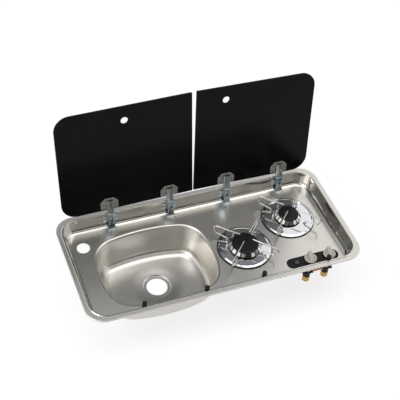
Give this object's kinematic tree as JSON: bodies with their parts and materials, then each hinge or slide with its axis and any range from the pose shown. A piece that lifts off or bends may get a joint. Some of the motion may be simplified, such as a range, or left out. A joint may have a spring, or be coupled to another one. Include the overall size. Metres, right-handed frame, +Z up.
{
  "type": "recessed sink and gas hob unit with glass lids",
  "caption": "Drop-in steel unit for a camper van kitchen: an oval sink bowl beside gas burners, under a black glass lid in two hinged halves.",
  "frame": {"origin": "centre of the unit, level with the worktop that its flange rests on", "axes": "+X along the unit towards the burners' end, +Y towards the hinges at the back, +Z up out of the worktop"},
  "size_m": [0.76, 0.4066, 0.4568],
  "materials": {
    "brushed_stainless": "brushed along the unit, satin",
    "polished_stainless": "mirror polished",
    "polished_crown": "bright turned",
    "black_enamel": "gloss enamel",
    "cast_aluminium": "as cast",
    "galvanised_steel": "galvanised",
    "blackened_steel": "blackened sheet",
    "chromed_wire": "bright",
    "zinc_plate": "zinc plated, bluish",
    "clear_pad": "translucent grey",
    "black_glass": "black tempered glass, polished edges",
    "black_rubber": "matt",
    "brass": "machined",
    "copper": "drawn copper tube",
    "aluminium_pipe": "drawn tube",
    "valve_metal": "die cast",
    "ceramic": "glazed white ceramic",
    "pale_knob": "light warm grey, satin",
    "black_plastic": "satin black",
    "grey_plastic": "satin grey"
  },
  "bodies": {
    "unit": {"burner_body_front": "cast_aluminium", "burner_body_rear": "cast_aluminium", "burner_screws_front": "galvanised_steel", "burner_screws_rear": "galvanised_steel", "burner_strap_front": "galvanised_steel", "burner_strap_rear": "galvanised_steel", "control_panel": "black_plastic", "disc_gasket_front": "black_rubber", "disc_gasket_rear": "black_rubber", "drip_disc_front": "polished_stainless", "drip_disc_rear": "polished_stainless", "electrode_front": "ceramic", "electrode_rear": "ceramic", "feed_pipe_front": "aluminium_pipe", "feed_pipe_rear": "aluminium_pipe", "flange_seal": "black_rubber", "gas_rail": "copper", "hinge_bracket_1": "zinc_plate", "hinge_bracket_2": "zinc_plate", "hinge_bracket_3": "zinc_plate", "hinge_bracket_4": "zinc_plate", "hinge_pins": "zinc_plate", "hinge_rivets": "zinc_plate", "igniter_body": "grey_plastic", "injector_front": "brass", "injector_rear": "brass", "inlet_adapter_front": "black_plastic", "inlet_adapter_rear": "black_plastic", "lid_buffers": "black_rubber", "pan_support_front": "chromed_wire", "pan_support_rear": "chromed_wire", "sink_bowl": "brushed_stainless", "thermocouple_front": "chromed_wire", "thermocouple_rear": "chromed_wire", "top_pressing": "brushed_stainless", "union_nut_front": "brass", "union_nut_rear": "brass", "valve_body_front": "valve_metal", "valve_body_rear": "valve_metal", "valve_bracket": "blackened_steel"},
    "lid_left": {"lid_left": "black_glass", "hinge_pads_left": "clear_pad", "hinge_arm_1": "zinc_plate", "hinge_arm_2": "zinc_plate"},
    "lid_right": {"lid_right": "black_glass", "hinge_pads_right": "clear_pad", "hinge_arm_3": "zinc_plate", "hinge_arm_4": "zinc_plate"},
    "front_spindle": {"valve_cone_front": "valve_metal"},
    "front_knob": {"knob_front": "pale_knob"},
    "rear_spindle": {"valve_cone_rear": "valve_metal"},
    "rear_knob": {"knob_rear": "pale_knob"},
    "igniter_button": {"igniter_button": "grey_plastic"},
    "front_crown": {"burner_crown_front": "polished_crown"},
    "front_cap": {"burner_cap_front": "black_enamel"},
    "rear_crown": {"burner_crown_rear": "polished_crown"},
    "rear_cap": {"burner_cap_rear": "black_enamel"}
  },
  "joints": [
    {"name": "lid_left_hinge", "type": "hinge", "parent": "unit", "child": "lid_left", "pos_m": [-0.1385, 0.155, 0.0025], "axis": [1, 0, 0], "range_deg": [0, 100.6]},
    {"name": "lid_right_hinge", "type": "hinge", "parent": "unit", "child": "lid_right", "pos_m": [0.19325, 0.155, 0.0025], "axis": [1, 0, 0], "range_deg": [0, 100.6]},
    {"name": "front_valve_turn", "type": "hinge", "parent": "unit", "child": "front_spindle", "pos_m": [0.25, -0.1175, -0.05], "axis": [0, 0, 1], "range_deg": [0, 210]},
    {"name": "front_knob_push", "type": "slide", "parent": "front_spindle", "child": "front_knob", "axis": [0, 0, -1], "range_m": [0, 0.003], "stiffness_N_per_m": 400, "springref_m": -0.002},
    {"name": "rear_valve_turn", "type": "hinge", "parent": "unit", "child": "rear_spindle", "pos_m": [0.306, -0.1175, -0.05], "axis": [0, 0, 1], "range_deg": [0, 210]},
    {"name": "rear_knob_push", "type": "slide", "parent": "rear_spindle", "child": "rear_knob", "axis": [0, 0, -1], "range_m": [0, 0.003], "stiffness_N_per_m": 400, "springref_m": -0.002},
    {"name": "igniter_push", "type": "slide", "parent": "unit", "child": "igniter_button", "axis": [0, 0, -1], "range_m": [0, 0.0035], "stiffness_N_per_m": 400, "springref_m": -0.002},
    {"name": "front_crown_lift", "type": "slide", "parent": "unit", "child": "front_crown", "axis": [0, 0, 1], "range_m": [0, 0.008]},
    {"name": "front_cap_lift", "type": "slide", "parent": "front_crown", "child": "front_cap", "axis": [0, 0, 1], "range_m": [0, 0.008]},
    {"name": "rear_crown_lift", "type": "slide", "parent": "unit", "child": "rear_crown", "axis": [0, 0, 1], "range_m": [0, 0.008]},
    {"name": "rear_cap_lift", "type": "slide", "parent": "rear_crown", "child": "rear_cap", "axis": [0, 0, 1], "range_m": [0, 0.008]}
  ]
}
